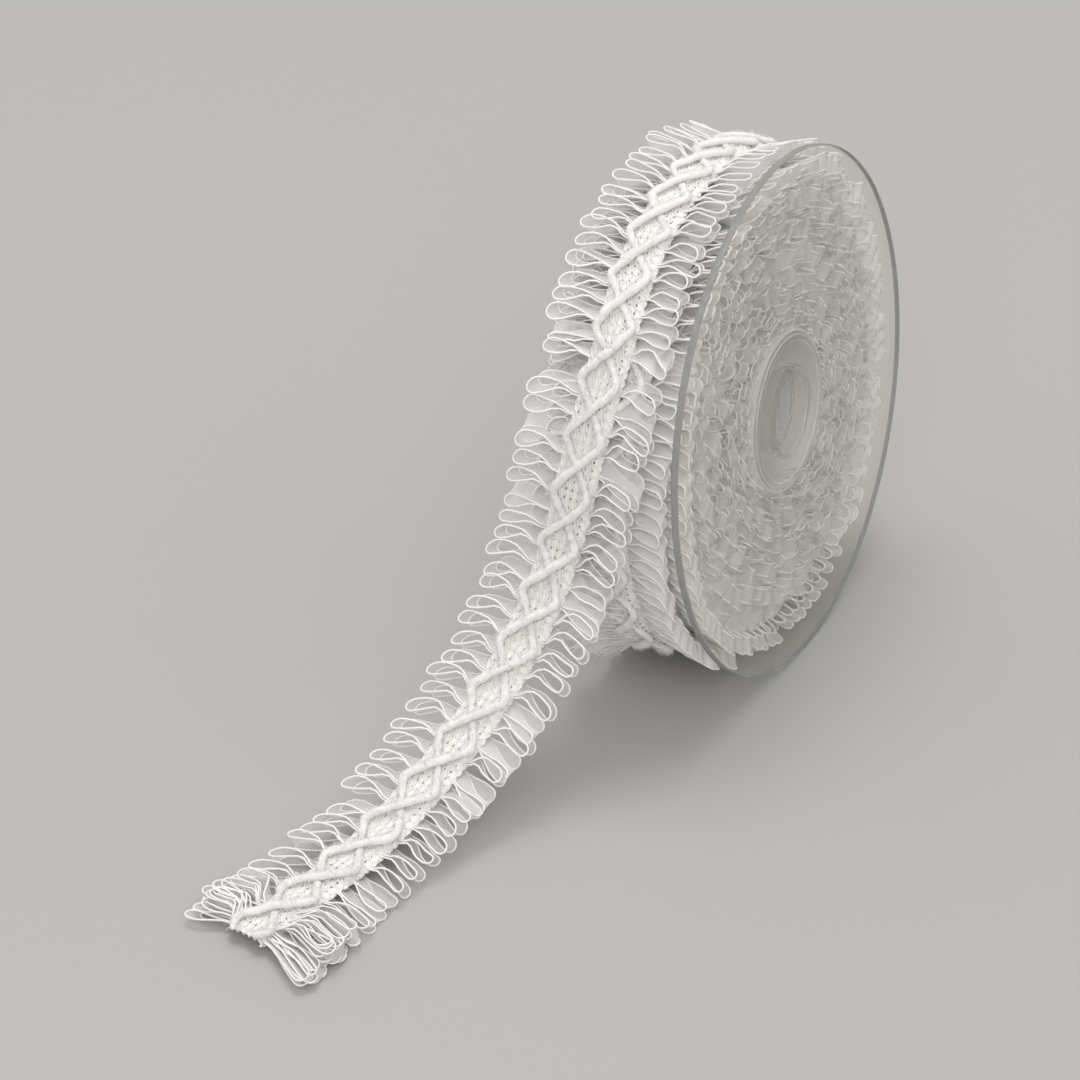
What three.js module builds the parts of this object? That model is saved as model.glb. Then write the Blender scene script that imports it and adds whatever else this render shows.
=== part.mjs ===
// Loop fringe trim wound on a clear spool that has one flange, its loose end lying in front.
// Millimetres, +Z up. The spool's axis runs along +X, flange end out, and the loose end runs towards -Y.
// The unflanged end of the roll is a little smaller than the flange, so the spool leans onto it.
// The origin is the middle of the roll's small flat spot, on the surface that it stands on.
import * as THREE from 'three';

// Spool, one clear moulding
const FLANGE_RADIUS = 40;
const FLANGE_THICKNESS = 1.1;
const HUB_RADIUS = 11.8;
const HUB_WALL = 1.2;
const HUB_END = 26.2;
const SPINDLE_RADIUS = 6.2;
const COLLAR_WIDTH = 0.9;
const COLLAR_DEPTH = 2.4;
const SPOOL_STEPS = 64;

// How the spool stands: its lean about Y, and the flat spot's place under the roll
const LEAN = THREE.MathUtils.degToRad(5.7);
const FLAT_SPOT_FROM_FLANGE = 23.4;

// Trim: a heading with ribbon loops standing out on both sides
const TRIM_WIDTH = 20;
const HEADING_WIDTH = 6.6;
const HEADING_THICKNESS = 2.4;
const CORD_HEIGHT = 1;
const CORD_WIDTH = 1.2;
const DIAMOND_LENGTH = 7.85;
const LOOP_PITCH = 2.55;
const LOOP_SLANT = 0.35;
const LOOP_LENGTH_VARIATION = 0.9;
const PIECE_GAP = 0.3;

// Winding: the outermost turn's middle, its underside and the angles from the top that it covers
const TURN_FROM_FLANGE = 14.3;
const TURN_UNDERSIDE_RADIUS = 34.5;
const TURN_START = THREE.MathUtils.degToRad(-127);
const TURN_LEAVES = THREE.MathUtils.degToRad(52);
// It stands off the roll behind the top, where winding off has loosened it
const TURN_BULGE = 2.4;
const TURN_BULGE_AT = THREE.MathUtils.degToRad(-40);
const TURN_BULGE_SPREAD = THREE.MathUtils.degToRad(50);
const LEFT_LOOP_FLARE = 1.6;
const RIGHT_LOOP_FLARE = 1;
const ROLL_STEPS = 96;
const ROLL_BORE_RADIUS = HUB_RADIUS + PIECE_GAP;
const ROLL_LUMP = 0.9;
const FOOT_GROWS_FROM = THREE.MathUtils.degToRad(58);
const FOOT_FULL_FROM = THREE.MathUtils.degToRad(145);
const FOOT_FULL_TO = THREE.MathUtils.degToRad(218);
const FOOT_ENDS_AT = THREE.MathUtils.degToRad(229);

// Section of the roll, from the bore past the flange and over the outside to the bore again.
// fromFlange is along the axis, radius is under the outermost turn, foot is the radius at the bottom,
// where the turn belongs to the roll and its left loops splay out to carry it.
const ROLL_SECTION = [
  { fromFlange: 1.4, radius: ROLL_BORE_RADIUS, foot: ROLL_BORE_RADIUS, sideways: 0, inward: 0 },
  { fromFlange: 1.4, radius: 18, foot: 18, sideways: 1, inward: 0 },
  { fromFlange: 1.4, radius: 24, foot: 24, sideways: 1, inward: 0 },
  { fromFlange: 1.4, radius: 30, foot: 30, sideways: 1, inward: 0 },
  { fromFlange: 1.5, radius: 36, foot: 36, sideways: 0.3, inward: 1 },
  { fromFlange: 3.6, radius: 36.4, foot: 36.6, sideways: 0, inward: 1 },
  { fromFlange: 4.4, radius: 34.2, foot: 35.8, sideways: 0, inward: 0.4 },
  { fromFlange: 10, radius: 34.2, foot: 35.6, sideways: 0, inward: 0.4 },
  { fromFlange: 16, radius: 34.2, foot: 36, sideways: 0, inward: 0.4 },
  { fromFlange: 21.5, radius: 34.2, foot: 38.8, sideways: 0, inward: 0.4 },
  { fromFlange: 25.2, radius: 33.4, foot: 39.1, sideways: -0.4, inward: 0.4 },
  { fromFlange: 25.2, radius: 29, foot: 29, sideways: -1, inward: 0 },
  { fromFlange: 25.2, radius: 23, foot: 23, sideways: -1, inward: 0 },
  { fromFlange: 25.2, radius: 17, foot: 17, sideways: -1, inward: 0 },
  { fromFlange: 25, radius: ROLL_BORE_RADIUS, foot: ROLL_BORE_RADIUS, sideways: 0, inward: 0 },
];

// Underside of the loose end, from where it has left the roll down to its cut end on the surface
const LOOSE_END_PATH = [
  { x: 2.9, y: -31.9, z: 52.6 },
  { x: 2.2, y: -35.7, z: 43.9 },
  { x: 1.2, y: -38.6, z: 34.2 },
  { x: -0.1, y: -43.6, z: 25 },
  { x: -1.9, y: -50.9, z: 17 },
  { x: -4, y: -59.4, z: 10.6 },
  { x: -6.4, y: -68.6, z: 5.6 },
  { x: -8.8, y: -77.6, z: 2 },
  { x: -10.5, y: -84, z: 0.5 },
  { x: -12, y: -90, z: 0 },
  { x: -14.3, y: -101, z: 0 },
];
const LEAN_FADES_BY = 0.5;

// A loop of the loose end in plan: half widths and reach of its outer and inner side, root to tip
const OPEN_LOOP = [
  { outerHalf: 0.7, outerReach: 0, innerHalf: 0.28, innerReach: 0 },
  { outerHalf: 1.05, outerReach: 0.72, innerHalf: 0.65, innerReach: 0.72 },
  { outerHalf: 0.55, outerReach: 1, innerHalf: 0.3, innerReach: 0.93 },
];
// A loop of the wound turn, pressed shut to a lock
const CLOSED_LOOP = [
  { half: 0.45, reach: 0 },
  { half: 1.05, reach: 0.7 },
  { half: 0.5, reach: 1 },
];

// Repeatable unevenness between 0 and 1, from two whole numbers
function uneven(first, second) {
  const wave = Math.sin(first * 12.9898 + second * 78.233) * 43758.5453;
  return wave - Math.floor(wave);
}

function solidFrom(points, faces) {
  const geometry = new THREE.BufferGeometry();
  geometry.setFromPoints(points);
  geometry.setIndex(faces);
  geometry.computeVertexNormals();
  return geometry;
}

// The spool's own frame: x from the flange's outer face, z = 0 at its foot
const spoolFrame = new THREE.Group();
spoolFrame.rotation.y = -LEAN;
const flatSpotInSpool = new THREE.Vector3(-FLAT_SPOT_FROM_FLANGE, 0, FLAT_SPOT_FROM_FLANGE * Math.tan(LEAN));
const flatSpotLeaned = flatSpotInSpool.clone().applyEuler(spoolFrame.rotation);
spoolFrame.position.set(-flatSpotLeaned.x, 0, FLANGE_THICKNESS * Math.sin(LEAN));
spoolFrame.updateMatrixWorld();

// A point at an angle from the top of the spool, turning towards the front
function aroundAxis(fromFlange, radius, angle) {
  return new THREE.Vector3(-fromFlange, -radius * Math.sin(angle), FLANGE_RADIUS + radius * Math.cos(angle));
}

function spoolGeometry() {
  const webDepth = FLANGE_THICKNESS + COLLAR_DEPTH;
  const boreRadius = HUB_RADIUS - HUB_WALL;
  const section = [
    [SPINDLE_RADIUS, 0],
    [FLANGE_RADIUS, 0],
    [FLANGE_RADIUS, FLANGE_THICKNESS],
    [HUB_RADIUS, FLANGE_THICKNESS],
    [HUB_RADIUS, HUB_END],
    [boreRadius, HUB_END],
    [boreRadius, FLANGE_THICKNESS],
    [SPINDLE_RADIUS + COLLAR_WIDTH, FLANGE_THICKNESS],
    [SPINDLE_RADIUS + COLLAR_WIDTH, webDepth],
    [SPINDLE_RADIUS, webDepth],
    [SPINDLE_RADIUS, 0],
  ];
  const outline = section.map(([radius, fromFlange]) => new THREE.Vector2(radius, -fromFlange)).reverse();
  const geometry = new THREE.LatheGeometry(outline, SPOOL_STEPS);
  geometry.rotateZ(-Math.PI / 2);
  geometry.translate(0, 0, FLANGE_RADIUS);
  return geometry;
}

// How far a place around the roll belongs to its foot: it grows from below the loose end to the bottom,
// as the turn before winds outwards, and ends where the outermost turn begins at the back
function footShare(angle) {
  const grown = THREE.MathUtils.smoothstep(angle, FOOT_GROWS_FROM, FOOT_FULL_FROM);
  const ended = THREE.MathUtils.smoothstep(angle, FOOT_FULL_TO, FOOT_ENDS_AT);
  return grown * (1 - ended);
}

function rollPoint(row, rowIndex, column) {
  const angle = (2 * Math.PI * column) / ROLL_STEPS;
  const lump = ROLL_LUMP * uneven(rowIndex, column);
  const radius = THREE.MathUtils.lerp(row.radius, row.foot, footShare(angle)) - row.inward * lump;
  const point = aroundAxis(row.fromFlange + row.sideways * lump, radius, angle);
  const heightAboveFloor = point.clone().applyMatrix4(spoolFrame.matrixWorld).z;
  if (heightAboveFloor < 0) {
    point.z -= heightAboveFloor / Math.cos(LEAN);
  }
  return point;
}

function rollGeometry() {
  const rows = ROLL_SECTION.length;
  const points = [];
  const faces = [];
  for (let column = 0; column < ROLL_STEPS; column += 1) {
    ROLL_SECTION.forEach((row, rowIndex) => points.push(rollPoint(row, rowIndex, column)));
  }
  for (let column = 0; column < ROLL_STEPS; column += 1) {
    const next = ((column + 1) % ROLL_STEPS) * rows;
    for (let row = 0; row < rows; row += 1) {
      const above = (row + 1) % rows;
      const [a, b, c, d] = [column * rows + row, column * rows + above, next + above, next + row];
      faces.push(a, b, c, a, c, d);
    }
  }
  return solidFrom(points, faces);
}

// Height of the two heading cords, which zigzag across the heading and cross in a row of diamonds
function cordHeight(along, across) {
  const phase = THREE.MathUtils.euclideanModulo(along / DIAMOND_LENGTH, 2);
  const swing = (Math.abs(phase - 1) * 2 - 1) * (HEADING_WIDTH - CORD_WIDTH) / 2;
  const nearest = Math.min(Math.abs(across - swing), Math.abs(across + swing));
  return CORD_HEIGHT * Math.exp(-((nearest / CORD_WIDTH) ** 2));
}

// A heading with its loops as one closed solid. place(along, across, height) puts a point in space.
function fringedHeading(place, loopCount, loopsAreOpen) {
  const half = HEADING_WIDTH / 2;
  const loopLength = TRIM_WIDTH / 2 - half;
  const length = loopCount * LOOP_PITCH;
  const topAcross = [half, half / 2, 0, -half / 2, -half];
  const points = [];
  const faces = [];
  const quad = (a, b, c, d) => faces.push(a, b, c, a, c, d);

  // One section of the heading: lower left, lower right, then the top from right to left
  function addSection(along) {
    const first = points.length;
    points.push(place(along, -half, 0), place(along, half, 0));
    topAcross.forEach((across) => {
      const atEdge = Math.abs(across) === half;
      const height = HEADING_THICKNESS + (atEdge ? 0 : cordHeight(along, across));
      points.push(place(along, across, height));
    });
    return Array.from({ length: points.length - first }, (_, index) => first + index);
  }

  // Four corners of a strand: towards the start low and high, then towards the end high and low
  function addStrand(side, early, late) {
    const corners = [[early, 0], [early, HEADING_THICKNESS], [late, HEADING_THICKNESS], [late, 0]];
    return corners.map(([at, height]) => points.push(place(at.along, side * at.across, height)) - 1);
  }

  function joinStrands(side, from, to) {
    for (let corner = 0; corner < 4; corner += 1) {
      const next = (corner + 1) % 4;
      if (side > 0) {
        quad(from[corner], from[next], to[next], to[corner]);
      } else {
        quad(from[next], from[corner], to[corner], to[next]);
      }
    }
  }

  // A place on a loop in plan, by its offset from the loop's middle line and its share of the reach
  const onLoop = (middle, reach) => (offset, share) => ({
    along: middle + offset + LOOP_SLANT * share * reach,
    across: half + share * reach,
  });

  function addOpenLoop(side, middle, reach, firstRoot, lastRoot) {
    const at = onLoop(middle, reach);
    const outward = OPEN_LOOP.slice(1).map((row) => (
      addStrand(side, at(-row.outerHalf, row.outerReach), at(-row.innerHalf, row.innerReach))
    ));
    const back = OPEN_LOOP.slice(1).reverse().map((row) => (
      addStrand(side, at(row.outerHalf, row.outerReach), at(row.innerHalf, row.innerReach))
    ));
    const chain = [firstRoot, ...outward, ...back, lastRoot];
    chain.slice(1).forEach((strand, index) => joinStrands(side, chain[index], strand));
  }

  function addClosedLoop(side, middle, reach, root) {
    const at = onLoop(middle, reach);
    const chain = [root, ...CLOSED_LOOP.slice(1).map((row) => (
      addStrand(side, at(-row.half, row.reach), at(row.half, row.reach))
    ))];
    chain.slice(1).forEach((strand, index) => joinStrands(side, chain[index], strand));
    const [a, b, c, d] = chain.at(-1);
    if (side > 0) {
      quad(a, b, c, d);
    } else {
      quad(d, c, b, a);
    }
  }

  // Corners of a root between two sections, in the order that addStrand gives
  function rootCorners(side, early, late) {
    const last = early.length - 1;
    return side > 0 ? [early[1], early[2], late[2], late[1]] : [early[0], early[last], late[last], late[0]];
  }

  const rootEdges = loopsAreOpen
    ? [-OPEN_LOOP[0].outerHalf, -OPEN_LOOP[0].innerHalf, OPEN_LOOP[0].innerHalf, OPEN_LOOP[0].outerHalf]
    : [-CLOSED_LOOP[0].half, CLOSED_LOOP[0].half];
  const sections = [addSection(0)];
  for (let loop = 0; loop < loopCount; loop += 1) {
    rootEdges.forEach((edge) => sections.push(addSection((loop + 0.5) * LOOP_PITCH + edge)));
  }
  sections.push(addSection(length));

  const corners = sections[0].length;
  for (let index = 0; index + 1 < sections.length; index += 1) {
    const [early, late] = [sections[index], sections[index + 1]];
    const isRoot = index % 2 === 1;
    for (let corner = 0; corner < corners; corner += 1) {
      const next = (corner + 1) % corners;
      const isSide = corner === 1 || corner === corners - 1;
      if (!(isRoot && isSide)) {
        quad(early[corner], early[next], late[next], late[corner]);
      }
    }
  }
  for (let corner = 1; corner + 1 < corners; corner += 1) {
    const [first, last] = [sections[0], sections.at(-1)];
    faces.push(first[0], first[corner + 1], first[corner]);
    faces.push(last[0], last[corner], last[corner + 1]);
  }

  for (let loop = 0; loop < loopCount; loop += 1) {
    const middle = (loop + 0.5) * LOOP_PITCH;
    const firstSection = 1 + loop * rootEdges.length;
    [-1, 1].forEach((side) => {
      const reach = loopLength - LOOP_LENGTH_VARIATION * uneven(loop, side);
      const root = rootCorners(side, sections[firstSection], sections[firstSection + 1]);
      if (loopsAreOpen) {
        const [a, b, c, d] = rootCorners(side, sections[firstSection + 2], sections[firstSection + 3]);
        addOpenLoop(side, middle, reach, root, [d, c, b, a]);
      } else {
        addClosedLoop(side, middle, reach, root);
      }
    });
  }
  return solidFrom(points, faces);
}

// The outermost turn lies on the roll, its loops flaring away from the axis
function placeOnTurn(along, across, height) {
  const angle = TURN_START + along / (TURN_UNDERSIDE_RADIUS + HEADING_THICKNESS);
  const beyondHeading = Math.max(0, Math.abs(across) - HEADING_WIDTH / 2) / (TRIM_WIDTH - HEADING_WIDTH) * 2;
  const flare = (across < 0 ? LEFT_LOOP_FLARE : RIGHT_LOOP_FLARE) * beyondHeading ** 2;
  const fromBulge = Math.abs(angle - TURN_BULGE_AT);
  const bulge = TURN_BULGE * (1 - THREE.MathUtils.smoothstep(fromBulge, 0, TURN_BULGE_SPREAD));
  const radius = TURN_UNDERSIDE_RADIUS + bulge + height + flare;
  return aroundAxis(TURN_FROM_FLANGE - across, radius, angle);
}

function outerTurnGeometry() {
  const arc = (TURN_LEAVES - TURN_START) * (TURN_UNDERSIDE_RADIUS + HEADING_THICKNESS);
  return fringedHeading(placeOnTurn, Math.floor((arc - PIECE_GAP) / LOOP_PITCH), false);
}

// The loose end's underside as one smooth curve that starts in line with the outermost turn
function looseEndCurve() {
  const onRoll = (angle) => (
    aroundAxis(TURN_FROM_FLANGE, TURN_UNDERSIDE_RADIUS, angle).applyMatrix4(spoolFrame.matrixWorld)
  );
  const path = LOOSE_END_PATH.map((row) => new THREE.Vector3(row.x, row.y, row.z));
  const curve = new THREE.CatmullRomCurve3([onRoll(TURN_LEAVES), ...path], false, 'centripetal');
  curve.arcLengthDivisions = 600;
  return curve;
}

function looseEndGeometry() {
  const curve = looseEndCurve();
  const length = curve.getLength();

  function placeOnLooseEnd(along, across, height) {
    const share = (along + PIECE_GAP) / length;
    const onCurve = THREE.MathUtils.clamp(share, 0, 1);
    const tangent = curve.getTangentAt(onCurve);
    const point = curve.getPointAt(onCurve).addScaledVector(tangent, (share - onCurve) * length);
    point.z = Math.max(point.z, 0);
    const lean = LEAN * (1 - THREE.MathUtils.smoothstep(onCurve, 0, LEAN_FADES_BY));
    const side = new THREE.Vector3(Math.cos(lean), 0, Math.sin(lean));
    side.addScaledVector(tangent, -side.dot(tangent)).normalize();
    const up = new THREE.Vector3().crossVectors(tangent, side);
    return point.addScaledVector(side, across).addScaledVector(up, height);
  }

  return fringedHeading(placeOnLooseEnd, Math.floor((length - PIECE_GAP) / LOOP_PITCH), true);
}

function mesh(name, geometry, material) {
  const piece = new THREE.Mesh(geometry, material);
  piece.name = name;
  return piece;
}

const clearPlastic = () => new THREE.MeshStandardMaterial({
  color: 0xdfe3e4,
  roughness: 0.08,
  metalness: 0,
  transparent: true,
  opacity: 0.35,
});
const whiteTrim = () => new THREE.MeshStandardMaterial({ color: 0xf4f2ee, roughness: 0.85, metalness: 0 });

spoolFrame.add(
  mesh('spool', spoolGeometry(), clearPlastic()),
  mesh('wound_trim', rollGeometry(), whiteTrim()),
  mesh('outer_turn', outerTurnGeometry(), whiteTrim()),
);

const trimOnSpool = new THREE.Group();
trimOnSpool.add(spoolFrame, mesh('loose_end', looseEndGeometry(), whiteTrim()));

export default trimOnSpool;
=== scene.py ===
"""Loop fringe trim on a clear spool: the looks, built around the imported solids.

Sizes are millimetres here and become metres where a mesh is made. A place on the trim is given as along
(from the point where it leaves the roll, positive towards the cut end), across (negative to the left) and
height above its underside. A place on the roll is given in turns, counted back from the leaving point.
"""

import math

import bpy
import numpy as np
from mathutils import Matrix, Vector


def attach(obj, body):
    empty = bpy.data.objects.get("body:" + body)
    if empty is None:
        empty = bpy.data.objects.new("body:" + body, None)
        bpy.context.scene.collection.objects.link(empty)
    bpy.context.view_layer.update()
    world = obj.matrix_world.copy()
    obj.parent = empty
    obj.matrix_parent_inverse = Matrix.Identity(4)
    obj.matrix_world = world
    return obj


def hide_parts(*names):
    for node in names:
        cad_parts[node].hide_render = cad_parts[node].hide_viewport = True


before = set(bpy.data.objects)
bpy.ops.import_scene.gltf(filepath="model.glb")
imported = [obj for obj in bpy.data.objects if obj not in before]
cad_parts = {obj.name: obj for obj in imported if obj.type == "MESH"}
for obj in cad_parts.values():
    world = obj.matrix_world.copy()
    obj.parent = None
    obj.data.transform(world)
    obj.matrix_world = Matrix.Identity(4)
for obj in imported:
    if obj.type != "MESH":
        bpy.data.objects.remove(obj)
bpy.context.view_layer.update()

MM = 0.001
SEED = 27
chance = np.random.default_rng(SEED)


def span(low, high):
    """Random values anywhere between two."""
    return lambda count: chance.uniform(low, high, count)


def about(usual, spread):
    """Random values about a usual one."""
    return lambda count: chance.normal(usual, spread, count)


def drawn(table, count):
    """Draws every row of a table, in the table's order."""
    return {key: draw(count) for key, draw in table.items()}


# Spool, as in the part
FLANGE_RADIUS = 40.0
FLANGE_THICKNESS = 1.1
HUB_RADIUS = 11.8
HUB_WALL = 1.2
HUB_END = 26.2
SPINDLE_RADIUS = 6.2
COLLAR_WIDTH = 0.9
COLLAR_DEPTH = 2.4
LEAN = math.radians(5.7)
SPOOL_FOOT = (23.52, 0.0, 0.109)

# Spool's moulded edges, and how much painted shade greys their rim and rounds, standing in for the light bent
# in a clear edge
SPOOL_STEPS = 180
EDGE_ROUND = 0.22
ROUND_STEPS = 5
BESIDE_ROUND = 1.5
RIM_DEPTH = 0.2
# The rim is painted grey in full; these are the shares of that painted shade on the rounded edges of the
# flange and of the hub's tube
FLANGE_ROUND_PAINTED_SHADE = 0.5
TUBE_ROUND_PAINTED_SHADE = 1.0
TUBE_SEAT_GAP = 0.02

# Trim
RIBBON_WIDTH = 2.9
RIBBON_EDGE_RADIUS = 0.14
HEADING_WIDTH = 6.6
LOOP_REACH = 10.0
LOOPS_PER_DIAMOND = 2.8
STITCHES_PER_DIAMOND = 6
DIAMOND_LENGTH_WOUND = 7.25
DIAMOND_LENGTH_AT_END = 9.2
STRETCH_FROM = -45.0
STRETCH_TO = 105.0
DIAMONDS_BEFORE_LEAVING = 5.37

# Winding, as in the part: angles are from the top of the spool, turning towards the front
TURN_LEAVES = math.radians(52)
TURN_UNDERSIDE_RADIUS = 34.5
TURN_RISE = 2.1
LEVEL_FOR = 0.35
WOUND_TURNS = 11.6
HUB_GAP = 0.15
HEADING_MIDDLE = 1.5
FLANGE_CLEARANCE = 0.2
NO_FLANGE = 100.0
PATH_STEPS = 9000

# Where the last turns are loose: degrees from the top, how far to each side, and how far they stand off
LOOSE_PLACES = [
    {"at": -40, "spread": 50, "stands_off": 2.4},
    {"at": 128, "spread": 52, "stands_off": 3.3},
]
LOOSE_TURNS = 4

# Where the middle of the trim lies on the spool, turn by turn
TURN_CENTRES = [
    {"turn": 0.0, "from_flange": 14.3},
    {"turn": 0.88, "from_flange": 14.7},
    {"turn": 1.02, "from_flange": 10.8},
    {"turn": 2.1, "from_flange": 10.6},
    {"turn": 2.6, "from_flange": 14.6},
    {"turn": 3.1, "from_flange": 10.9},
    {"turn": 4.4, "from_flange": 10.9},
    {"turn": 4.9, "from_flange": 15.0},
    {"turn": 5.4, "from_flange": 10.9},
    {"turn": 6.6, "from_flange": 10.8},
    {"turn": 7.2, "from_flange": 14.8},
    {"turn": 7.7, "from_flange": 10.8},
    {"turn": 11.6, "from_flange": 10.6},
]
OPEN_END_CENTRE = 15.2
SECOND_TURN_TO_OPEN_END = 3.0
INNER_TAIL = 1.0

# Underside of the loose end as x, y and z, as in the part
LOOSE_END_PATH = [
    (2.9, -31.9, 52.6),
    (2.2, -35.7, 43.9),
    (1.2, -38.6, 34.2),
    (-0.1, -43.6, 25.0),
    (-1.9, -50.9, 17.0),
    (-4.0, -59.4, 10.6),
    (-6.4, -68.6, 5.6),
    (-8.8, -77.6, 2.0),
    (-10.5, -84.0, 0.5),
    (-12.0, -90.0, 0.0),
    (-14.3, -101.0, 0.0),
]
CURVE_STEPS = 80
RUN_PAST_END = 12
LEAN_FADES_BY = 0.5
FLOOR_GAP = 0.16

# How far the frayed pieces run past the part's cut end
FRAYED = {"ribbon": 0.84, "ground": 3.57, "knit": 3.864, "cords": 4.2}

# Loops: lengths in mm, leans and tilts in degrees from upright, sweeps as a share of a loop's length
ROOT_UNDER_HEADING = 0.4
PACKED_ROOT = 3.6
LOOP_BASE = 0.16
LEFT_IN_PAIR = 0.75
RIGHT_IN_PAIR = 0.25
HUB_END_MARGIN = 0.4
FLANGE_MARGIN = 0.3
RIGHT_LONGER_AT_END = 3.0
FLARE = {"left": 1.7, "right": 1.2, "second_left": -1.4, "second_right": 1.0, "hanging_right": 0.4}
LOOP_LEAN = {"usual": 33, "on_drop": -23, "at_end": 18, "root": 60, "root_ruffled": -45}
SWEEP = {"left": 0.24, "left_grows": 0.2, "right": 0.1, "right_leaving": 0.16, "right_at_end": 0.05}
FLAT_SHARE = {"usual": 0.05, "loose_right": 0.22, "second_right": 0.3}

# Random part of every loop, in the order of drawing; flat is compared with the share of loops that lie flat
LOOP = {
    "shorter_by": span(0, 0.9),
    "flat": span(0, 1),
    "flat_lean": span(55, 78),
    "lean": about(0, 9),
    "flare": about(0, 0.25),
    "tilt": about(7, 5),
    "sweep": about(0, 0.25),
    "half_left": span(0.95, 1.25),
    "half_right": span(0.88, 1.15),
    "wave": about(0, 0.18),
}

# Added to the left loops of the outermost turn where it hangs, below the loose end
RUFFLE = {
    "lean": about(-30, 25),
    "tilt": about(8, 14),
    "flare": span(0.2, 2.6),
    "sweep": about(0, 1.4),
    "wave": about(0, 0.7),
    "half": span(0.3, 0.9),
}
RUFFLED_LEGS = {"neck": 0.5, "pinch": -0.2, "belly": -0.35}

# Loops of the inner turns, packed together; the sweep is added
PACKED = {
    "lean": about(22, 38),
    "flare": about(0.6, 0.9),
    "tilt": about(4, 16),
    "sweep": about(0, 1.1),
    "half": span(0.75, 1.45),
    "wave": about(0, 0.5),
}

# Legs of a loop: narrow as far as the pinch and fully open at the belly, both as shares of the leg
LEGS = {
    "neck": span(0.04, 0.22),
    "pinch_left": span(0.1, 0.36),
    "pinch_right": span(-0.02, 0.14),
    "belly_left": span(0.9, 1.0),
    "belly_right": span(0.55, 0.85),
    "wave_start": span(0, 6.28),
}

# Loops crushed on one another at the cut end; the middle is from the part's cut end
CRUSHED_COUNT = 30
CRUSHED_ROOT_UNDER_HEADING = 0.8
CRUSHED_RIGHT_LONGER = 3.2
CRUSHED_SWEEP = {"left": 0.14, "right": 0.26}
CRUSHED = {
    "shorter_by": span(0, 1.4),
    "sweep": span(-0.12, 0.08),
    "middle": span(-7.0, 0.1),
    "half": span(0.9, 1.5),
    "neck": span(0.2, 0.6),
    "pinch": span(0.0, 0.2),
    "belly": span(0.6, 1.0),
    "wave": about(0, 0.25),
    "wave_start": span(0, 6.28),
    "base": span(0.16, 0.8),
    "flare": span(-0.2, 0.6),
    "lean": span(-20, 80),
    "tilt": about(4, 6),
}

# Where the loops change: from and to, in mm along, mm from the part's cut end, or turns
FLARE_FADES = (-4, 26)
DROP_STARTS = (0, 14)
DROP_ENDS = (42, 72)
LEFT_SWEEP_GROWS = (0, 60)
LOOPS_LENGTHEN = (-24, -4)
LOOPS_FLATTEN = (-7, -2)
HANGS_FROM = (0.5, 0.62)
HANGS_TO = (0.88, 0.98)
LEAVING_AT = 0.05
LEAVING_SPREAD = 1 / 3
SECOND_TURN_HANGS_AT = 1.7
SECOND_TURN_HANGS_FOR = 0.12

# Path of the ribbon through a loop
WAVES_IN_LOOP = 1.1
SWEEP_POWER = 1.2
FLARE_POWER = 1.6
LEAN_REACHED_AT = 0.4
RIBBON_STEPS = {"leg": 6, "tip": 9, "edge_sides": 4}
PACKED_STEPS = {"leg": 3, "tip": 6, "edge_sides": 3}

# Heading's cords
CORD_RADIUS = 0.6
CORD_SIDES = 14
CORD_STEP = 0.2
CORD_SWING = 2.75
CORD_HEIGHT = 2.75
CORD_SHARPNESS = 0.955
CORD_OVER = 0.42
CORD_PRESSED = 0.36
CORD_LUMPS = 0.07
CORD_FLATTENED = 0.9
CORD_STRANDS = {"lobes": 3, "lobe_depth": 0.03, "twist_length": 2.1}
CORD_WANDERS = {"spacing": 1.3, "depth": 0.1}
CORD_RISES = {"spacing": 1.1, "depth": 0.05}
CORD_SWELLS = {"spacing": 0.9, "depth": 0.09}
CORD_OVERLAP = 0.2
TIP_SHARE = 0.04
SHOULDER_SHARE = 0.75

# Fibre ends, rooted inside the cords and spread over their upper sides
FIBRE_RADIUS = 0.021
FIBRE_POINTS = 3
FIBRE_ROOT_SHARE = 0.85
FIBRE_LENGTH = (0.2, 0.75)
FIBRE_DRIFT = 0.4
FIBRE_DRIFT_POWER = 1.5
FIBRE_CURL = 0.5
FIBRES_PAST_SIDE = 0.3
FIBRE_TILT = 0.3
TURN_FIBRES_PER_MM = 40
END_FIBRES_PER_MM = 70

# Heading's knit
GROUND_HEIGHT = 2.15
GROUND_STEP = 0.5
GROUND_POINTS = 13
EDGE_DROP = 0.9
EDGE_DROPS = (2.3, 3.3)
YARN_RADIUS = 0.16
YARN_SIDES = 3
KNIT_STEP = 0.24
KNIT_OVERLAP = 0.1
CHAINS = 7
CHAINS_REACH = 3.05
STRAND_OFF = 0.144
STRAND_SWING = 0.12
STRAND_LIFT = 0.1
STRAND_WAVE = 0.06
LAID_IN_REACH = 2.54
LAID_IN_SWING = 0.55
LAID_IN_LIFT = 0.04

# Packed inner turns: distances from the flange's outer face, and radii
CORE_FLANGE_END = 3.7
CORE_OPEN_END = 21.4
CORE_FLANGE_BRIM = 3.2
CORE_OPEN_BRIM = 22.8
CORE_INSIDE = HUB_RADIUS + 1.6
CORE_OUTSIDE = TURN_UNDERSIDE_RADIUS - TURN_RISE - 0.4
CORE_BRIM = (CORE_OUTSIDE - 5, CORE_OUTSIDE - 1)
CORE_TURN = 2.0
CORE_LUMPS = 0.4
CORE_STEPS = {"round": 240, "end": 26, "outside": 14, "wrap": 12}
WRAP_FROM = 1.4
WRAP_TO = 24.8
WRAP_INSIDE = HUB_RADIUS + 0.25
WRAP_OUTSIDE = WRAP_INSIDE + 0.3

# Photograph's view: the aim is given from the middle of the flange, to the right and up in the picture
VIEW_AZIMUTH = math.radians(27.1)
VIEW_ELEVATION = math.radians(32.0)
VIEW_DISTANCE = 600.0
AIM_RIGHT = -41.38
AIM_UP = -18.17
LENS = 135.0
SENSOR = 36.0
NEAREST_SEEN = 10.0

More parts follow.
